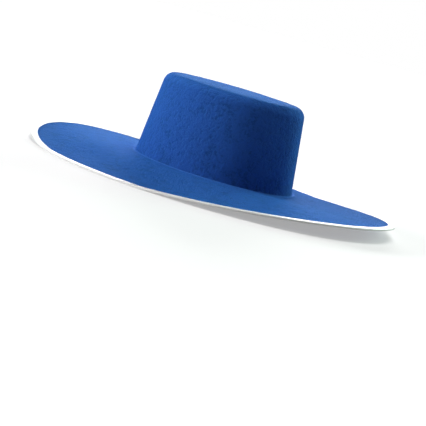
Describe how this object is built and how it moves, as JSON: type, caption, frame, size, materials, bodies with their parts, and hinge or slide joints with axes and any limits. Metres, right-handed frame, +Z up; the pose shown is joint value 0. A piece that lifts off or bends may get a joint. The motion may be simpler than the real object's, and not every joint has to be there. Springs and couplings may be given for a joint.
{
  "type": "wide brim felt hat with a flat crown and bound edge",
  "caption": "Wide brimmed felt hat with a tapered flat-topped crown, an oval open head hollow and a pale ribbon folded over the edge of its gently waved brim.",
  "frame": {"origin": "on the surface that the hat rests on, under the middle of the crown", "axes": "+Z up through the crown, -X towards the wearer's front, +Y towards the wearer's right"},
  "size_m": [0.466, 0.431, 0.1229],
  "materials": {
    "felt": "matte blocked wool felt, cobalt blue, with a short nap",
    "ribbon": "matte ribbed ribbon, white"
  },
  "bodies": {
    "root": {"crown_and_brim": "felt", "edge_binding": "ribbon"}
  },
  "joints": []
}
